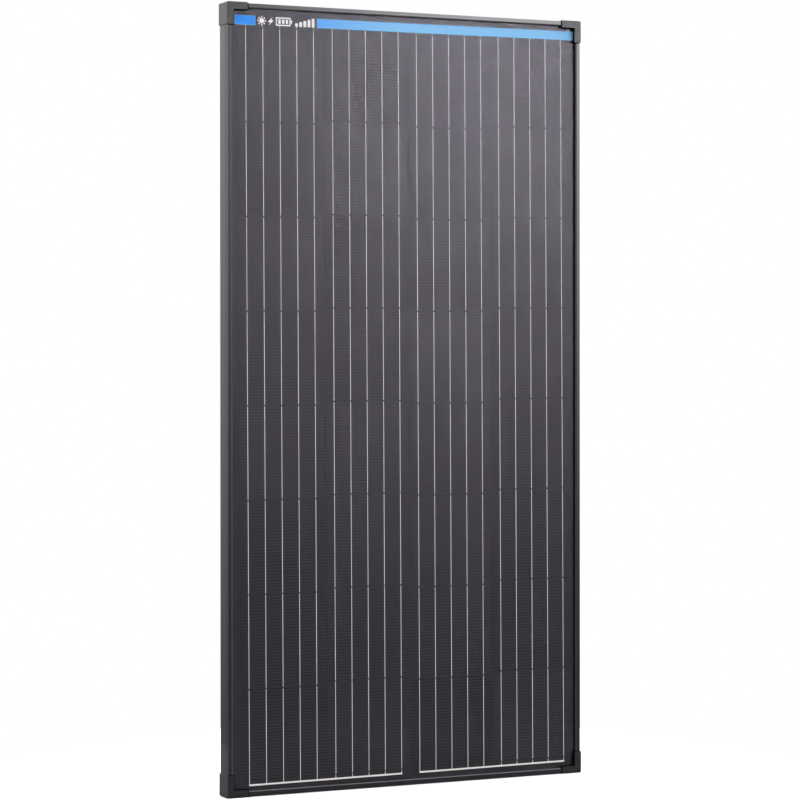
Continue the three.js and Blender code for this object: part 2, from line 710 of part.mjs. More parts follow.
const matrix = new THREE.Group();
matrix.position.set(MATRIX_OFFSET.x, 0, MATRIX_OFFSET.z);
matrix.rotation.y = -MATRIX_TURN;
panel.add(matrix);
for (let column = 0; column < COLUMNS; column++)
  add(matrix, `cell_string_${column + 1}`, cellString(), silicon).position.x = columnX(column);
add(matrix, "bus_ribbon_bottom_left", busRibbon(0, 1, BOTTOM_BUS_Z, CELL_LAYER), tinnedCopper);
add(matrix, "bus_ribbon_bottom_right", busRibbon(2, 3, BOTTOM_BUS_Z, CELL_LAYER), tinnedCopper);
add(matrix, "bus_ribbon_top_left", busRibbon(0, 0, TOP_BUS_Z, TOP_BUS_LAYER), tinnedCopper);
add(matrix, "bus_ribbon_top_middle", busRibbon(1, 2, TOP_BUS_Z, TOP_BUS_LAYER), tinnedCopper);
add(matrix, "bus_ribbon_top_right", busRibbon(3, 3, TOP_BUS_Z, TOP_BUS_LAYER), tinnedCopper);
const filmOutline = rectangle(FILM.left, FILM.right, FILM.bottom, FILM.top);
add(matrix, "header_film", plate(filmOutline, FILM_LAYER), blueFilm);

const POLES = [
  { name: "left", side: -1 },
  { name: "middle", side: 0 },
  { name: "right", side: 1 },
];
for (const { name, side } of POLES) {
  add(matrix, `lead_${name}`, lead(side), tinnedCopper);
  add(panel, `terminal_${name}`, terminal(side), brass);
  add(panel, `terminal_screw_${name}`, terminalScrew(side), steel);
}

add(panel, "junction_box_pad", boxPad(), sealRubber);
add(panel, "junction_box_base", boxBase(), blackPlastic);
add(panel, "junction_box_lid", boxLid(), blackPlastic);
add(panel, "lid_gasket", lidGasket(), sealRubber);
add(panel, "lid_hinge_pin", hingePin(), steel);

const PAIR = [
  { name: "left", side: -1 },
  { name: "right", side: 1 },
];
for (const { name, side } of PAIR) {
  add(panel, `bypass_diode_${name}`, diode(side), diodeEpoxy);
  add(panel, `gland_body_${name}`, glandBody(side), blackPlastic);
  add(panel, `gland_seal_${name}`, glandSeal(side), sealRubber);
  add(panel, `gland_slip_ring_${name}`, slipRing(side), blackPlastic);
  add(panel, `gland_nut_${name}`, glandNut(side), blackPlastic);
}

add(panel, "rating_label", ratingLabel(), labelFilm);

const object = new THREE.Group();
object.add(panel);

export default object;
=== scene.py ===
"""The looks of a framed solar module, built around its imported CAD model.

Lengths are in millimetres in the code and in metres on the meshes. A place in the module is written
(x, depth, z): x and z from the module's centre, depth from the front face of the rails backwards.
"""

import math
import random

import bpy
from mathutils import Matrix, Vector


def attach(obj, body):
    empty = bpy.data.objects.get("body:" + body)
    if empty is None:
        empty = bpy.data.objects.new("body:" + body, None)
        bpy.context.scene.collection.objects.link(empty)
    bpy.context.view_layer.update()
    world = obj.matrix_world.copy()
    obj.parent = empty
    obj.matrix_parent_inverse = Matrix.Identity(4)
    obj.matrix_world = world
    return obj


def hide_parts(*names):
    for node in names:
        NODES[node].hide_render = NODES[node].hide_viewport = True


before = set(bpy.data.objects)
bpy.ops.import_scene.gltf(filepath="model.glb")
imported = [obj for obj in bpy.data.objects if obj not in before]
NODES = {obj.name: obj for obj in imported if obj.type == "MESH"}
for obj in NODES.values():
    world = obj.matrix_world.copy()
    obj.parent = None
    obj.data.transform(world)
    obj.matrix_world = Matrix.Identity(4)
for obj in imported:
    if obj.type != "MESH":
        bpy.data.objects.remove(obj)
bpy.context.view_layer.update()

MM = 0.001

# The rails, the corner pieces round them and the laminate between them
RAIL_WIDTH, RAIL_HEIGHT, RAIL_DEPTH = 675, 1336.5, 35
CHAMBER_WIDTH, LIP = 11, 6.5
CAP_ARM, CAP_FACE, CAP_PROUD = 38, 12.4, 1.7
LAMINATE_INSET, LAMINATE_RADIUS = 2.5, 3
# The clear pane, which takes in the glass and the encapsulant in front of the cells
PANE = (2.0, 5.4)
CENTRE = Vector((0, -RAIL_DEPTH / 2, RAIL_HEIGHT / 2 + CAP_PROUD)) * MM

# The cell matrix sits a little off the frame's centre and is turned a little in it
MATRIX_PLACE = (
    Matrix.Translation(CENTRE + Vector((2.4, 0, -6)) * MM)
    @ Matrix.Rotation(-math.radians(0.275), 4, "Y")
)
MODULE_PLACE = Matrix.Translation(CENTRE)

COLUMNS, ROWS, BUSBARS = 4, 8, 5
CELL, PITCH, BUSBAR_PITCH = 156.75, 159.75, 31.2
HALF_CELL = CELL / 2
CORNER_CUT = 8.5
WAFER = (5.72, 5.88)
RIBBON_WIDTH = 0.85
RIBBON_BREAK = 2.5
RIBBON_FRONT = (5.52, 5.70)
RIBBON_REAR = (5.89, 6.03)
INSULATION = (6.05, 6.09)
FINGER_PITCH = 1.3
FINGER_EDGE = (0.03, 0.09)
FINGER_SILVER = 0.16
WAVE_DEPTH = 0.38
BOTTOM_BUS = (-645.1, -642.3)
FILM = {"left": -321.8, "right": 328.2, "bottom": 640.0, "top": 656.0}
WINDOW = (-284.1, -170.6)
# Just behind the backsheet
REAR_FACE = 7.15


# ---------------------------------------------------------------- camera


def make_camera():
    """The camera, in metres, at the module's front left."""
    data = bpy.data.cameras.new("camera")
    data.lens = 124.875
    data.sensor_width = 36.0
    data.shift_y = -0.0473
    data.clip_start = 0.1
    data.clip_end = 60.0
    camera = bpy.data.objects.new("camera", data)
    camera.matrix_world = (
        Matrix.Translation((-2.0751, -4.3517, 0.74995))
        @ Matrix.Rotation(math.radians(-25.395), 4, "Z")
        @ Matrix.Rotation(math.radians(90 - 0.204), 4, "X")
        @ Matrix.Rotation(math.radians(-0.04), 4, "Z")
    )
    bpy.context.scene.collection.objects.link(camera)
    bpy.context.scene.camera = camera


make_camera()


# ---------------------------------------------------------------- material nodes


class Graph:
    """Short calls for making and joining the nodes of one tree."""

    def __init__(self, tree):
        self.tree = tree

    def node(self, kind, inputs=(), **settings):
        made = self.tree.nodes.new(kind)
        for key, value in settings.items():
            setattr(made, key, value)
        for key, value in dict(inputs).items():
            self.feed(made.inputs[key], value)
        return made

    def feed(self, socket, value):
        if isinstance(value, bpy.types.NodeSocket):
            self.tree.links.new(value, socket)
        else:
            socket.default_value = value

    def place(self, stretch=(1, 1, 1)):
        """The piece's own coordinates, in metres, scaled by stretch."""
        coords = self.node("ShaderNodeTexCoord").outputs["Object"]
        return self.node("ShaderNodeMapping", {"Vector": coords, "Scale": stretch}).outputs[0]

    def noise(self, vector, scale, detail=3.0, roughness=0.55):
        inputs = {"Vector": vector, "Scale": scale, "Detail": detail, "Roughness": roughness}
        return self.node("ShaderNodeTexNoise", inputs).outputs["Fac"]

    def math(self, operation, a, b=0.0):
        return self.node("ShaderNodeMath", {0: a, 1: b}, operation=operation).outputs[0]

    def span(self, value, low, high, to_low, to_high, smooth=False):
        kind = "SMOOTHSTEP" if smooth else "LINEAR"
        inputs = {0: value, 1: low, 2: high, 3: to_low, 4: to_high}
        return self.node("ShaderNodeMapRange", inputs, interpolation_type=kind).outputs[0]

    def blend(self, factor, a, b):
        made = self.node("ShaderNodeMix", data_type="RGBA")
        for index, value in ((0, factor), (6, a), (7, b)):
            self.feed(made.inputs[index], value)
        return made.outputs[2]

    def bump(self, height, distance, strength=1.0, normal=None):
        inputs = {"Height": height, "Distance": distance, "Strength": strength}
        if normal is not None:
            inputs["Normal"] = normal
        return self.node("ShaderNodeBump", inputs).outputs[0]


class Paint(Graph):
    """A node material on one Principled shader."""

    def __init__(self, name, **sockets):
        self.mat = bpy.data.materials.new(name)
        self.mat.use_nodes = True
        super().__init__(self.mat.node_tree)
        self.shader = self.tree.nodes["Principled BSDF"]
        self.output = self.tree.nodes["Material Output"]
        for key, value in sockets.items():
            self.shader.inputs[key.replace("_", " ")].default_value = value

    def set(self, name, value):
        self.feed(self.shader.inputs[name], value)


def rgb(r, g, b, scale=1.0):
    return (r * scale, g * scale, b * scale, 1.0)


def textured(name, colour, roughness, stretch=(1, 1, 1), cloud=40, grain=2500, spread=0.18,
             rough_spread=0.08, depth=3e-5, wear=0.0, **sockets):
    """A material whose colour drifts in soft clouds, with a fine grain in its gloss and relief.
    wear lightens the outer edges, where handling has rubbed them."""
    paint = Paint(name, **sockets)
    vector = paint.place(stretch)
    clouds = paint.noise(vector, cloud, 4)
    fine = paint.noise(vector, grain, 2)
    dark = rgb(*colour, scale=1 - spread)
    light = rgb(*colour, scale=1 + spread)
    tone = paint.blend(paint.span(clouds, 0.3, 0.7, 0, 1), dark, light)
    if wear:
        tone = paint.blend(edge_mask(paint, wear), tone, rgb(0.3, 0.3, 0.31))
    paint.set("Base Color", tone)
    mixed = paint.math("MULTIPLY", paint.math("ADD", clouds, fine), 0.5)
    paint.set(
        "Roughness",
        paint.span(mixed, 0.3, 0.7, roughness - rough_spread, roughness + rough_spread),
    )
    paint.set("Normal", paint.bump(fine, depth))
    return paint.mat


def edge_mask(paint, amount):
    """Up to amount on the rounded edges, broken up by noise."""
    rounded = paint.node("ShaderNodeBevel", {"Radius": 0.0006}, samples=4).outputs[0]
    flat = paint.node("ShaderNodeNewGeometry").outputs["Normal"]
    same = paint.node("ShaderNodeVectorMath", {0: rounded, 1: flat}, operation="DOT_PRODUCT")
    edge = paint.span(same.outputs["Value"], 0.75, 0.98, 1, 0)
    patchy = paint.span(paint.noise(paint.place(), 90, 5), 0.4, 0.62, 0.25, 1)
    return paint.math("MULTIPLY", paint.math("MULTIPLY", edge, patchy), amount)


# ---------------------------------------------------------------- materials

ALONG_Z = (60, 60, 0.6)
ALONG_X = (0.6, 60, 60)


def anodised(name, stretch):
    """Black anodised aluminium with the fine lines of the extrusion along it."""
    return textured(
        name, (0.0085, 0.0085, 0.0093), 0.135, stretch=stretch, cloud=2, grain=45, spread=0.22,
        rough_spread=0.03, depth=0.4e-5, wear=0.05, Metallic=0.1,
    )


def solar_glass():
    """Tempered solar glass with a faintly stippled face, which lets the lamps reach the cells."""
    paint = Paint(
        "solar_glass", Roughness=0.0, IOR=1.0, Transmission_Weight=1.0, Coat_Weight=0.1,
        Coat_Roughness=0.5, Coat_IOR=1.35,
    )
    vector = paint.place()
    stipple = paint.noise(vector, 2200, 1)
    haze = paint.noise(vector, 5, 3)
    paint.set("Base Color", paint.blend(haze, rgb(0.97, 0.97, 0.97), rgb(0.99, 0.99, 0.995)))
    paint.set("Normal", paint.bump(stipple, 3e-6, 0.2))
    clear = paint.node("ShaderNodeBsdfTransparent", {"Color": rgb(0.95, 0.95, 0.95)})
    path = paint.node("ShaderNodeLightPath")
    bounced = paint.math("MAXIMUM", path.outputs["Is Diffuse Ray"], path.outputs["Is Glossy Ray"])
    through = paint.math("MAXIMUM", path.outputs["Is Shadow Ray"], bounced)
    mixer = paint.node("ShaderNodeMixShader", {0: through})
    paint.tree.links.new(paint.shader.outputs[0], mixer.inputs[1])
    paint.tree.links.new(clear.outputs[0], mixer.inputs[2])
    paint.tree.links.new(mixer.outputs[0], paint.output.inputs["Surface"])
    return paint.mat


def cell_silicon():
    """Monocrystalline silicon: dark and slightly violet, with fine printed fingers across each
    cell and a slow wave in its tone over every four of them."""
    paint = Paint("cell_silicon", Metallic=0.67, Specular_IOR_Level=0.0)
    local = paint.node("ShaderNodeAttribute", attribute_name="cell_mm").outputs["Vector"]
    parts = paint.node("ShaderNodeSeparateXYZ", {0: local})
    across, up, tone = parts.outputs
    wave = paint.math("COSINE", paint.math("MULTIPLY", up, 2 * math.pi / (4 * FINGER_PITCH)))
    step = paint.math("FRACT", paint.math("DIVIDE", up, FINGER_PITCH))
    near = paint.math("ABSOLUTE", paint.math("SUBTRACT", step, 0.5))
    finger = paint.span(
        paint.math("MULTIPLY", near, FINGER_PITCH), *FINGER_EDGE, 1, 0, smooth=True
    )
    far = paint.math("MAXIMUM", paint.math("ABSOLUTE", across), paint.math("ABSOLUTE", up))
    inside = paint.span(far, HALF_CELL - 1.3, HALF_CELL - 1.0, 1, 0)
    vector = paint.place()
    clouds = paint.noise(vector, 9, 3)
    base = paint.blend(clouds, rgb(0.0400, 0.0387, 0.0429), rgb(0.0482, 0.0467, 0.0518))
    level = paint.math("ADD", tone, paint.math("MULTIPLY", wave, WAVE_DEPTH))
    scaled = paint.node("ShaderNodeVectorMath", {0: base, "Scale": level}, operation="SCALE")
    silver = paint.math("MULTIPLY", paint.math("MULTIPLY", finger, inside), FINGER_SILVER)
    paint.set("Base Color", paint.blend(silver, scaled.outputs[0], rgb(0.25, 0.25, 0.257)))
    paint.set("Roughness", paint.span(paint.noise(vector, 60, 2), 0.3, 0.7, 0.18, 0.21))
    return paint.mat


def rear_cover():
    """Backsheet film: white behind, with the wafers and ribbons pressed faintly through it."""
    paint = Paint("backsheet_film")
    vector = paint.place()
    clouds = paint.noise(vector, 6, 4)
    crinkle = paint.noise(vector, 140, 4)
    weave = paint.noise(vector, 1800, 2)

    def within(value, pitch, shift):
        """The distance of value from the middle of its own step of a repeat, with its sign."""
        steps = paint.math("ADD", paint.math("DIVIDE", value, pitch * MM), shift)
        part = paint.math("SUBTRACT", paint.math("FRACT", steps), 0.5)
        return paint.math("MULTIPLY", part, pitch * MM)

    x, _, z = paint.node("ShaderNodeSeparateXYZ", {0: vector}).outputs
    across, up = within(x, PITCH, COLUMNS / 2), within(z, PITCH, ROWS / 2)
    far = paint.math("MAXIMUM", paint.math("ABSOLUTE", across), paint.math("ABSOLUTE", up))
    wafer = paint.span(far, (HALF_CELL - 0.6) * MM, (HALF_CELL + 0.6) * MM, 1, 0, smooth=True)
    bar = paint.math("ABSOLUTE", within(across, BUSBAR_PITCH, BUSBARS / 2))
    ridge = paint.math("MULTIPLY", paint.span(bar, 0.0003, 0.0014, 1, 0, smooth=True), wafer)
    pressed = paint.math("ADD", wafer, ridge)
    tone = paint.blend(clouds, rgb(0.70, 0.70, 0.69), rgb(0.80, 0.80, 0.795))
    shade = paint.math("MULTIPLY", pressed, 0.05)
    paint.set("Base Color", paint.blend(shade, tone, rgb(0.3, 0.3, 0.33)))
    paint.set("Roughness", paint.span(weave, 0.3, 0.7, 0.42, 0.6))
    coarse = paint.bump(crinkle, 1.5e-4, 0.5, normal=paint.bump(pressed, 2.5e-4, 0.8))
    paint.set("Normal", paint.bump(weave, 2e-5, 0.6, normal=coarse))
    return paint.mat


def blue_film():
    """Bright blue film, painted paler from its left end to the right, as a painted sheen of the
    lamps at the right front.
    """
    paint = Paint("blue_film", Roughness=0.4, Specular_IOR_Level=0.25)
    vector = paint.place()
    along = paint.node("ShaderNodeSeparateXYZ", {0: vector}).outputs["X"]
    drift = paint.math("MULTIPLY", paint.noise(vector, 14, 3), 0.12)
    # Painted sheen of the lamps, paler towards the right, with a slow random drift in tone added
    painted_sheen_and_drift = paint.math("ADD", paint.span(along, -0.33, 0.0, 0.0, 0.9, smooth=True), drift)
    paint.set("Base Color", paint.blend(painted_sheen_and_drift, rgb(0.008, 0.29, 0.99), rgb(0.275, 0.655, 1.0)))
    paint.set("Normal", paint.bump(paint.noise(vector, 400, 2), 4e-6))
    return paint.mat


M = {
    "anodised_long": anodised("anodised_long", ALONG_Z),
    "anodised_short": anodised("anodised_short", ALONG_X),
    "cap": textured(
        "cap_plastic", (0.009, 0.009, 0.0102), 0.2, cloud=60, grain=3500, spread=0.12,
        depth=3e-5, wear=0.08, Specular_IOR_Level=0.37,
    ),
    "box": textured(
        "box_plastic", (0.02, 0.02, 0.022), 0.52, cloud=50, grain=2600, spread=0.15,
        depth=8e-5, wear=0.1,
    ),
    "key": textured(
        "raw_aluminium", (0.56, 0.57, 0.58), 0.38, stretch=ALONG_X, cloud=3, grain=40,
        Metallic=0.9,
    ),
    "seal": textured(
        "silicone_seal", (0.06, 0.06, 0.064), 0.34, cloud=80, grain=900, depth=1e-4,
    ),
    # A near-black sheet that paints the shadow in the gaps round the corner caps
    "joint": textured(
        "painted_gap_shadow", (0.002, 0.002, 0.002), 0.85, cloud=80, grain=900, depth=1e-4,
        Specular_IOR_Level=0.05,
    ),
    "pad": textured(
        "adhesive_foam", (0.02, 0.02, 0.021), 0.75, cloud=200, grain=1800, depth=2e-4,
    ),
    "silicone": textured(
        "sealant_bead", (0.6, 0.6, 0.58), 0.4, cloud=60, grain=700, spread=0.06, depth=1.5e-4,
        Subsurface_Weight=0.1,
    ),
    "glass": solar_glass(),
    "silicon": cell_silicon(),
    "gap": textured(
        "encapsulant_ground", (0.0470, 0.0456, 0.0506), 0.2, cloud=12, grain=60, spread=0.06,
        rough_spread=0.02, depth=1e-6, Metallic=0.67, Specular_IOR_Level=0.0,
    ),
    "ribbon": textured(
        "tinned_ribbon", (0.84, 0.83, 0.80), 0.42, stretch=(1, 1, 0.25), cloud=180, grain=900,
        spread=0.06, depth=1e-6, Metallic=0.45,
    ),
    "bus": textured(
        "bus_ribbon", (0.82, 0.81, 0.76), 0.4, stretch=(0.25, 1, 1), cloud=120, grain=3000,
        spread=0.05, depth=2e-5, Metallic=0.25,
    ),
    "film": blue_film(),
    "film_edge": textured(
        "blue_film_edge", (0.16, 0.58, 0.98), 0.35, cloud=40, grain=2500, spread=0.04, depth=1e-5,
    ),
    "film_window": textured(
        "film_window", (0.0455, 0.0442, 0.0488), 0.2, cloud=30, grain=60, spread=0.06,
        rough_spread=0.02, depth=1e-6, Metallic=0.67, Specular_IOR_Level=0.0,
    ),
    "print": textured(
        "white_print", (0.95, 0.95, 0.94), 0.5, cloud=200, grain=3500, spread=0.03, depth=1e-5,
    ),
    "backsheet": rear_cover(),
    "steel": textured(
        "stainless", (0.5, 0.51, 0.52), 0.28, stretch=(1, 30, 30), cloud=30, grain=120,
        Metallic=0.95, wear=0.1,
    ),
    "brass": textured(
        "flashed_brass", (0.6, 0.48, 0.26), 0.32, cloud=160, grain=2200, spread=0.1,
        Metallic=0.9,
    ),
    "epoxy": textured(
        "diode_epoxy", (0.02, 0.02, 0.022), 0.3, cloud=200, grain=3000, depth=3e-5,
    ),
    "label": textured(
        "label_film", (0.62, 0.63, 0.64), 0.38, cloud=60, grain=3200, spread=0.04, depth=1e-5,
        Metallic=0.15,
    ),
    "ink": textured(
        "label_ink", (0.05, 0.05, 0.055), 0.5, cloud=300, grain=3200, spread=0.1, depth=1e-5,
    ),
}


# ---------------------------------------------------------------- CAD pieces

# Edges that turn by more than this are rounded
SHARPEST_SMOOTH = math.radians(32)
WELD_DISTANCE = 1e-5


def round_edges(piece, edge, segments=2):
    """Rounds a piece's sharp edges by edge millimetres."""
    bevel = piece.modifiers.new("edge", "BEVEL")
    bevel.width = edge * MM
    bevel.segments = segments
    bevel.limit_method = "ANGLE"
    bevel.angle_limit = SHARPEST_SMOOTH


def dress(node, key, edge=0.0, segments=2):
    """Paints a CAD node, and rounds its sharp edges by edge millimetres."""
    piece = NODES[node]
    piece.data.materials.clear()
    piece.data.materials.append(M[key])
    if edge:
        weld = piece.modifiers.new("weld", "WELD")
        weld.merge_threshold = WELD_DISTANCE
        round_edges(piece, edge, segments)


for side in ("left", "right"):
    dress(f"rail_{side}", "anodised_long", 0.22)
for side in ("bottom", "top"):
    dress(f"rail_{side}", "anodised_short", 0.22)
for side in ("left", "right", "bottom", "top"):
    dress(f"glazing_seal_{side}", "seal", 0.12)
for corner in ("bottom_left", "top_left", "top_right", "bottom_right"):
    dress(f"corner_cap_{corner}", "cap", 0.35, 3)
    dress(f"corner_key_{corner}", "key", 0.2)

dress("rear_encapsulant", "gap")
dress("backsheet", "backsheet")
for place in ("bottom_left", "bottom_right", "top_left", "top_middle", "top_right"):
    dress(f"bus_ribbon_{place}", "bus", 0.05)
for place in ("left", "middle", "right"):
    dress(f"lead_{place}", "bus", 0.05)
    dress(f"terminal_{place}", "brass", 0.12)
    dress(f"terminal_screw_{place}", "steel", 0.15)

dress("junction_box_pad", "pad", 0.15)
dress("junction_box_base", "box", 0.3)
dress("junction_box_lid", "box", 0.35)
dress("lid_gasket", "seal", 0.12)
dress("lid_hinge_pin", "steel", 0.2)
for side in ("left", "right"):
    dress(f"bypass_diode_{side}", "epoxy", 0.15)
    dress(f"gland_body_{side}", "box", 0.15)
    dress(f"gland_seal_{side}", "seal", 0.2)
    dress(f"gland_slip_ring_{side}", "box", 0.12)
    dress(f"gland_nut_{side}", "box", 0.2)
dress("rating_label", "label", 0.03)


# ---------------------------------------------------------------- mesh helpers


class Mesh:
    """Gathers closed solids in millimetres, as (x, depth, z), into one mesh object."""

    def __init__(self):
        self.points, self.faces, self.marks = [], [], []

    def slab(self, outline, front, back, mark=(0, 0, 0)):
        """A flat solid: outline is (x, z) points going anticlockwise as seen from the front.
        mark is its centre in x and z and a tone, which the points keep as their own coordinates."""
        start, count = len(self.points), len(outline)
        for depth in (front, back):
            self.points += [(x, depth, z) for x, z in outline]
            self.marks += [(x - mark[0], z - mark[1], mark[2]) for x, z in outline]
        ring = range(count)
        self.faces.append([start + i for i in ring])
        self.faces.append([start + count + i for i in reversed(ring)])
        for i in ring:
            j = (i + 1) % count
            self.faces.append([start + i, start + count + i, start + count + j, start + j])

    def box(self, x, depth, z, mark=(0, 0, 0)):
        self.slab([(x[0], z[0]), (x[1], z[0]), (x[1], z[1]), (x[0], z[1])], *depth, mark)

    def tube(self, sections):
        """A closed solid through sections, each the same number of (x, depth, z) points."""
        start, count = len(self.points), len(sections[0])
        for section in sections:
            self.points += section
            self.marks += [(0, 0, 0)] * count
        last = start + (len(sections) - 1) * count
        self.faces.append([start + i for i in reversed(range(count))])
        self.faces.append([last + i for i in range(count)])
        for k in range(len(sections) - 1):
            a, b = start + k * count, start + (k + 1) * count
            for i in range(count):
                j = (i + 1) % count
                self.faces.append([a + i, a + j, b + j, b + i])

    def loop(self, sections):
        """A closed ring through sections, the last joined to the first."""
        start, count, total = len(self.points), len(sections[0]), len(sections)
        for section in sections:
            self.points += section
            self.marks += [(0, 0, 0)] * count
        for k in range(total):
            a, b = start + k * count, start + ((k + 1) % total) * count
            for i in range(count):
                j = (i + 1) % count
                self.faces.append([a + i, a + j, b + j, b + i])

    def build(self, name, key, body="module", place=MODULE_PLACE, smooth=False, edge=0.0):
        data = bpy.data.meshes.new(name)
        data.from_pydata([Vector(p) * MM for p in self.points], [], self.faces)
        if any(mark[2] for mark in self.marks):
            local = data.attributes.new("cell_mm", "FLOAT_VECTOR", "POINT")
            local.data.foreach_set("vector", [value for mark in self.marks for value in mark])
        data.polygons.foreach_set("use_smooth", [smooth] * len(data.polygons))
        data.materials.append(M[key])
        data.validate()
        piece = bpy.data.objects.new(name, data)
        bpy.context.scene.collection.objects.link(piece)
        piece.matrix_world = place
        if edge:
            round_edges(piece, edge)
        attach(piece, body)
        return piece


def rounded(width, height, radius, x=0.0, z=0.0, steps=6):
    """A rounded rectangle's outline, anticlockwise as seen from the front."""
    points = []
    for turn, (sx, sz) in enumerate(((1, -1), (1, 1), (-1, 1), (-1, -1))):
        cx, cz = x + sx * (width / 2 - radius), z + sz * (height / 2 - radius)
        for k in range(steps + 1):
            angle = math.radians(90 * (turn - 1 + k / steps))
            points.append((cx + radius * math.cos(angle), cz + radius * math.sin(angle)))
    return points


# ---------------------------------------------------------------- glass and cells

glass = Mesh()
inset = 2 * LAMINATE_INSET
glass.slab(rounded(RAIL_WIDTH - inset, RAIL_HEIGHT - inset, LAMINATE_RADIUS), *PANE)
pane = glass.build("glass_pane", "glass", edge=0.5)
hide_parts("front_glass", "front_encapsulant")


def column_x(column):
    return (column - (COLUMNS - 1) / 2) * PITCH


def row_z(row):
    return (row - (ROWS - 1) / 2) * PITCH


def busbar_x(bar):
    return (bar - (BUSBARS - 1) / 2) * BUSBAR_PITCH


def wafer_outline(cx, cz):
    """A pseudo-square wafer: a square whose corners are arcs of the round ingot."""
    ingot = math.hypot(HALF_CELL, HALF_CELL - CORNER_CUT)
    start = math.atan2(HALF_CELL - CORNER_CUT, HALF_CELL)
    points, steps = [], 4
    for quarter in (-1, 0, 1, 2):
        for k in range(steps + 1):
            angle = start + (math.pi / 2 - 2 * start) * k / steps + quarter * math.pi / 2
            points.append((cx + ingot * math.cos(angle), cz + ingot * math.sin(angle)))
    return points


# Where the outermost ribbons end on the bus ribbons, for a string that runs down (1) or up (-1)
FRONT_END = {1: -644.2, -1: 644.0}
REAR_END = {1: 640.5, -1: -643.0}
# How far short of a cell's far edge a ribbon ends behind it
REAR_SHORT = 6


def ribbon_path(points, x):
    """A flat ribbon with softened edges, along (depth, thickness, z) points."""
    half = RIBBON_WIDTH / 2
    sections = []
    for depth, thick, z in points:
        sections.append([
            (x - half, depth + thick, z),
            (x + half, depth + thick, z),
            (x + half, depth + 0.3 * thick, z),
            (x + half * 0.7, depth, z),
            (x - half * 0.7, depth, z),
            (x - half, depth + 0.3 * thick, z),
        ])
    return sections


def tabbing(ribbons, column):
    """One column's ribbons. Each runs down a cell's front and bends behind the next cell;
    the direction changes from one column to the next."""
    cx = column_x(column)
    down = 1 if column % 2 == 0 else -1
    front = (RIBBON_FRONT[0], RIBBON_FRONT[1] - RIBBON_FRONT[0])
    rear = (RIBBON_REAR[0], RIBBON_REAR[1] - RIBBON_REAR[0])
    # The bend behind the next cell, as (depth, thickness, distance past this cell's edge)
    middle = ((front[0] + 0.1, 0.16, 1.7), (rear[0] - 0.08, 0.14, 2.7))
    bend = ((*front, 0.9), *middle, (*rear, 3.1))
    first, last = (ROWS - 1, 0) if down == 1 else (0, ROWS - 1)
    for bar in range(BUSBARS):
        x = cx + busbar_x(bar)
        for row in range(ROWS):
            cz = row_z(row)
            head = cz + down * (HALF_CELL - RIBBON_BREAK)
            foot = cz - down * HALF_CELL
            if row == last:
                points = [(*front, head), (*front, FRONT_END[down])]
            else:
                points = [(*front, head)]
                points += [(depth, thick, foot - down * past) for depth, thick, past in bend]
                points.append((*rear, foot - down * (PITCH - REAR_SHORT)))
            ribbons.tube(ribbon_path(points[::down], x))
            if row == first:
                points = [(*rear, REAR_END[down]), (*rear, cz - down * (HALF_CELL - REAR_SHORT))]
                ribbons.tube(ribbon_path(points[::down], x))


tones = random.Random(32)
for column in range(COLUMNS):
    cells = Mesh()
    for row in range(ROWS):
        cx, cz = column_x(column), row_z(row)
        tone = tones.uniform(0.93, 1.07)
        cells.slab(wafer_outline(cx, cz), *WAFER, mark=(cx, cz, tone))
    name = f"cell_column_{column + 1}"
    wafers = cells.build(name, "silicon", place=MATRIX_PLACE)
    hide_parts(f"cell_string_{column + 1}")
    ribbons = Mesh()
    tabbing(ribbons, column)
    ribbons.build(f"tabbing_column_{column + 1}", "ribbon", place=MATRIX_PLACE)


# ---------------------------------------------------------------- header film

FILM_FACE = (5.52, 5.62)
EDGE_FACE = (5.49, 5.52)
PRINT_FACE = (5.47, 5.50)
EDGE_WIDTH = 0.7
WINDOW_GAP = 0.1
FILM_MIDDLE = (FILM["bottom"] + FILM["top"]) / 2


def film():
    low, high = FILM["bottom"], FILM["top"]
    blue = Mesh()
    blue.box((FILM["left"], WINDOW[0]), FILM_FACE, (low, high))
    blue.box((WINDOW[1], FILM["right"]), FILM_FACE, (low, high))
    sheet = blue.build("header_film_blue", "film", place=MATRIX_PLACE)
    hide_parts("header_film")
    window = Mesh()
    window.box((WINDOW[0] + WINDOW_GAP, WINDOW[1] - WINDOW_GAP), FILM_FACE, (low, high))
    window.build("header_film_window", "film_window", place=MATRIX_PLACE)
    trim = Mesh()
    wide = EDGE_WIDTH
    for left, right in ((FILM["left"], WINDOW[0]), (WINDOW[1], FILM["right"])):
        trim.box((left, right), EDGE_FACE, (low, low + wide))
        trim.box((left, right), EDGE_FACE, (high - wide, high))
        trim.box((left, left + wide), EDGE_FACE, (low + wide, high - wide))
        trim.box((right - wide, right), EDGE_FACE, (low + wide, high - wide))
    trim.build("header_film_edge", "film_edge", place=MATRIX_PLACE)


def sun(glyphs, x, radius=4.4, ray=(5.4, 7.8), half=1.15, rays=8):
    """A disc with short rays round it."""
    size = 2 * radius
    glyphs.slab(rounded(size, size, radius - 0.05, x, FILM_MIDDLE), *PRINT_FACE)
    inner, outer = ray
    corners = [(inner, -half), (outer, -half), (outer, half), (inner, half)]
    for k in range(rays):
        ux, uz = math.cos(2 * math.pi * k / rays), math.sin(2 * math.pi * k / rays)
        outline = [(x + r * ux - w * uz, FILM_MIDDLE + r * uz + w * ux) for r, w in corners]
        glyphs.slab(outline, *PRINT_FACE)


def bolt(glyphs, x):
    """A lightning bolt: three points and the same three turned half round."""
    half = [(-5.4, -1.7), (-0.9, -1.7), (-3.6, -7.6)]
    zigzag = half + [(-px, -pz) for px, pz in half]
    glyphs.slab([(x + px, FILM_MIDDLE + pz) for px, pz in zigzag], *PRINT_FACE)


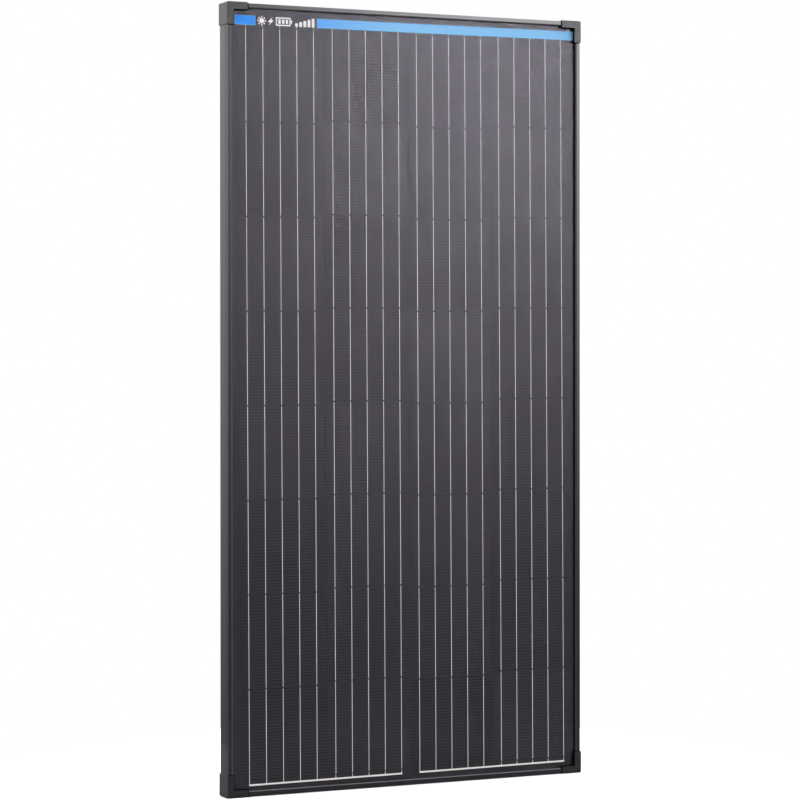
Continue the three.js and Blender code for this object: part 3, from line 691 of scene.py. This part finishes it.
def battery(glyphs, left, width=27.0, tall=7.3, wall=2.2, bars=3):
    """A battery's outline with its contact at the right, and the bars of its charge."""
    right, low, high = left + width, FILM_MIDDLE - tall, FILM_MIDDLE + tall
    glyphs.box((left, right), PRINT_FACE, (high - wall, high))
    glyphs.box((left, right), PRINT_FACE, (low, low + wall))
    for x in (left, right - wall):
        glyphs.box((x, x + wall), PRINT_FACE, (low + wall, high - wall))
    contact = rounded(2.4, 6.4, 0.8, right + 1.6, FILM_MIDDLE, 3)
    glyphs.slab(contact, *PRINT_FACE)
    first, step = left + 6.7, 6.8
    for k in range(bars):
        bar = rounded(4.4, 7.4, 0.5, first + step * k, FILM_MIDDLE, 3)
        glyphs.slab(bar, *PRINT_FACE)


def rising_bars(glyphs, first, step=7.7, width=5.2, lowest=6.0, rise=2.25, bars=5):
    """A row of bars on one line, each higher than the last."""
    line = FILM_MIDDLE - 7.5
    for k in range(bars):
        height = lowest + rise * k
        bar = rounded(width, height, 0.8, first + step * k, line + height / 2, 3)
        glyphs.slab(bar, *PRINT_FACE)


def film_print():
    """Generic marks for solar power, in a row along the window."""
    glyphs = Mesh()
    left = WINDOW[0]
    sun(glyphs, left + 11.5)
    bolt(glyphs, left + 28.0)
    battery(glyphs, left + 37.5)
    rising_bars(glyphs, left + 75.5)
    glyphs.build("header_film_print", "print", place=MATRIX_PLACE)


film()
film_print()


# ---------------------------------------------------------------- seals, label, leads, solder joints and painted shade round the caps

# A sealant bead's section, as shares of its width outwards and of its height backwards
BEAD_PROFILE = [(-0.35, 0), (-0.3, 0.75), (0.1, 1.0), (0.55, 0.72), (0.9, 0.25), (1.0, 0)]


def bead(outline, width, height, wobble, seed):
    """Sections of a hand-run sealant bead along a closed outline of (x, z) points."""
    dice = random.Random(seed)
    total = len(outline)
    sections = []
    swell = [dice.uniform(1 - wobble, 1 + wobble) for _ in outline]
    for k, (x, z) in enumerate(outline):
        ax, az = outline[k - 1]
        bx, bz = outline[(k + 1) % total]
        length = math.hypot(bx - ax, bz - az) or 1.0
        nx, nz = (bz - az) / length, -(bx - ax) / length
        wide, tall = width * swell[k], height * swell[(k * 7) % total]
        sections.append([
            (x + nx * out * wide, REAR_FACE + back * tall, z + nz * out * wide)
            for out, back in BEAD_PROFILE
        ])
    return sections


def spread_out(outline, step):
    """The same closed outline with points about step apart."""
    points = []
    for (ax, az), (bx, bz) in zip(outline, outline[1:] + outline[:1]):
        pieces = max(1, round(math.hypot(bx - ax, bz - az) / step))
        dx, dz = (bx - ax) / pieces, (bz - az) / pieces
        points += [(ax + dx * k, az + dz * k) for k in range(pieces)]
    return points


def box_seal():
    """Sealant squeezed out round the junction box's pad."""
    width, height, radius, middle = 108.4, 88.4, 5.6, 575
    squeeze = Mesh()
    outline = spread_out(rounded(width, height, radius, 0, middle, 4), 3.0)
    squeeze.loop(bead(outline, width=3.4, height=1.9, wobble=0.22, seed=7))
    squeeze.build("box_sealant", "silicone", smooth=True)


def rear_seal():
    """Sealant squeezed out where the backsheet meets the rails' chambers."""
    inset = 2 * CHAMBER_WIDTH
    run = Mesh()
    outline = rounded(RAIL_WIDTH - inset, RAIL_HEIGHT - inset, 1.2, steps=2)[::-1]
    run.loop(bead(spread_out(outline, 14.0), width=2.2, height=1.3, wobble=0.2, seed=11))
    run.build("rear_sealant", "seal", smooth=True)


def label_print():
    """A plain ruled table with no words on the blank label."""
    cx, cz, width, height, rows = 170.0, -430.0, 92.0, 50.0, 6
    left, right = cx - width / 2, cx + width / 2
    bottom, top = cz - height / 2, cz + height / 2
    front, back, half = 7.3, 7.34, 0.25
    ink = Mesh()
    for k in range(rows + 1):
        z = bottom + height * k / rows
        ink.box((left, right), (front, back), (z - half, z + half))
    for x in (left, cx + 4, right):
        ink.box((x - half, x + half), (front, back + 0.01), (bottom, top))
    ink.build("label_table", "ink")


def insulation():
    """Dark strips between the cells and the leads, so that the leads don't show in the gaps."""
    spacing, half, reach = 25, 5.5, 245
    bottom, shoulder, top = 598, 639, 658
    strips = Mesh()
    for x in (-spacing, 0, spacing):
        strips.box((x - half, x + half), INSULATION, (bottom, shoulder))
    strips.box((-reach, reach), INSULATION, (shoulder + 0.2, top))
    strips.build("lead_insulation", "gap", place=MATRIX_PLACE)


def solder_joints():
    """Solder where the cells' ribbons meet the bottom bus ribbons."""
    z = sum(BOTTOM_BUS) / 2
    joints = Mesh()
    for column in range(COLUMNS):
        for bar in range(BUSBARS):
            x = column_x(column) + busbar_x(bar)
            foot = rounded(2.2, 2.2, 1.0, x, z, 3)
            crown = rounded(1.4, 1.4, 0.6, x, z, 3)
            layers = ((foot, 5.68), (foot, 5.56), (crown, 5.48))
            joints.tube([[(px, depth, pz) for px, pz in ring] for ring, depth in layers])
    joints.build("bus_solder", "bus", place=MATRIX_PLACE, smooth=True)


def cap_painted_gap_shades():
    """Painted shade round each corner cap, where it laps the rails and the glass: dark strips that
    stand in for the shadow in the gap at the cap's edges.
    """
    wide, gap = 1.7, 0.05
    reach, edge = CAP_ARM - CAP_PROUD + gap, CAP_FACE - CAP_PROUD + gap
    on_lip, on_seal, on_glass = (-0.35, -0.02), (0.2, 0.85), (1.2, 1.98)
    for corner, sx, sz in (
        ("bottom_left", -1, -1), ("top_left", -1, 1), ("top_right", 1, 1), ("bottom_right", 1, -1)
    ):
        joint = Mesh()
        cx, cz = sx * RAIL_WIDTH / 2, sz * RAIL_HEIGHT / 2

        def strip(a, b, depth, flip):
            """A strip given by its insets: a from one rail's outer face and b from the other's."""
            if flip:
                a, b = b, a
            x = sorted((cx - sx * a[0], cx - sx * a[1]))
            z = sorted((cz - sz * b[0], cz - sz * b[1]))
            joint.box(x, depth, z)

        # Painted shadow strips along the cap's inner edges, on the lip, the seal and the glass
        for flip in (False, True):
            strip((reach, reach + wide), (0.15, LIP), on_lip, flip)
            strip((reach, reach + wide), (LIP, edge), on_seal, flip)
            start = edge if flip else edge + wide
            strip((start, reach + wide), (edge, edge + wide), on_glass, flip)
        joint.build(f"cap_painted_gap_shade_{corner}", "joint", edge=0.12)


box_seal()
rear_seal()
cap_painted_gap_shades()
label_print()
insulation()
solder_joints()


# ---------------------------------------------------------------- studio


def make_floor():
    """A round sheet of pale paper just under the module, in metres."""
    data = bpy.data.meshes.new("floor")
    radius, steps, height = 0.8, 64, -0.0003
    ring = [2 * math.pi * k / steps for k in range(steps)]
    points = [(radius * math.cos(a), radius * math.sin(a), height) for a in ring]
    data.from_pydata(points, [], [list(range(steps))])
    floor = bpy.data.objects.new("floor", data)
    bpy.context.scene.collection.objects.link(floor)
    paint = Paint("floor_paper", Roughness=0.9)
    pale = paint.blend(paint.noise(paint.place(), 3, 2), rgb(0.86, 0.86, 0.86), rgb(0.9, 0.9, 0.9))
    seen = paint.node("ShaderNodeLightPath").outputs["Is Camera Ray"]
    paint.set("Base Color", paint.blend(seen, rgb(0.2, 0.2, 0.2), pale))
    data.materials.append(paint.mat)


# Lamps as (azimuth, elevation), (spread across, spread up), power
LAMPS = (
    ((27.6, 8.5), (2.6, 5.0), 13.0),
    ((62, 34), (14, 14), 8.5),
)
TOP_LIGHT = 3.6
# The room's brightness below and above the horizon's band of elevations, in degrees
HORIZON = (-8, 7)
FRONT_ROOM = (0.25, 0.86)
REAR_ROOM = (0.3, 1.46)
ROOM_TINT = rgb(1.02, 0.985, 1.04)


def make_world():
    """White where the camera looks. For light, a pale room, brighter behind the module and
    overhead, with two soft lamps at the right front."""
    world = bpy.data.worlds.new("studio")
    bpy.context.scene.world = world
    world.use_nodes = True
    tree = world.node_tree
    tree.nodes.clear()
    g = Graph(tree)
    heading = g.node("ShaderNodeTexCoord").outputs["Generated"]
    x, y, z = g.node("ShaderNodeSeparateXYZ", {0: heading}).outputs
    azimuth = g.math("ARCTAN2", x, g.math("MULTIPLY", y, -1.0))
    elevation = g.math("ARCSINE", z)

    def lamp(at, spread, power):
        """A soft lamp at (azimuth, elevation), both in degrees, with its two spreads.
        Azimuth 0 is in front of the glass, and positive to the right."""
        away = 0.0
        for angle, middle, width in zip((azimuth, elevation), at, spread):
            off = g.math("SUBTRACT", angle, math.radians(middle))
            off = g.math("DIVIDE", off, math.radians(width))
            away = g.math("ADD", away, g.math("MULTIPLY", off, off))
        return g.math("MULTIPLY", g.math("EXPONENT", g.math("MULTIPLY", away, -0.5)), power)

    low, high = map(math.radians, HORIZON)
    front = g.span(elevation, low, high, *FRONT_ROOM)
    rear = g.span(elevation, low, high, *REAR_ROOM)
    behind = g.span(y, -0.1, 0.5, 0, 1, smooth=True)
    kept = g.math("MULTIPLY", front, g.math("SUBTRACT", 1.0, behind))
    room = g.math("ADD", kept, g.math("MULTIPLY", rear, behind))
    top = g.math("MULTIPLY", g.span(z, 0.8, 0.97, 0, 1, smooth=True), TOP_LIGHT)
    room = g.math("ADD", room, top)
    for at, spread, power in LAMPS:
        room = g.math("ADD", room, lamp(at, spread, power))
    path = g.node("ShaderNodeLightPath").outputs["Is Camera Ray"]
    strength = g.math("ADD", g.math("MULTIPLY", room, g.math("SUBTRACT", 1.0, path)), path)
    tint = g.blend(path, ROOM_TINT, rgb(1, 1, 1))
    light = g.node("ShaderNodeBackground", {"Color": tint, "Strength": strength})
    output = tree.nodes.new("ShaderNodeOutputWorld")
    tree.links.new(light.outputs[0], output.inputs["Surface"])


make_floor()
make_world()
bpy.context.scene.view_settings.view_transform = "Standard"
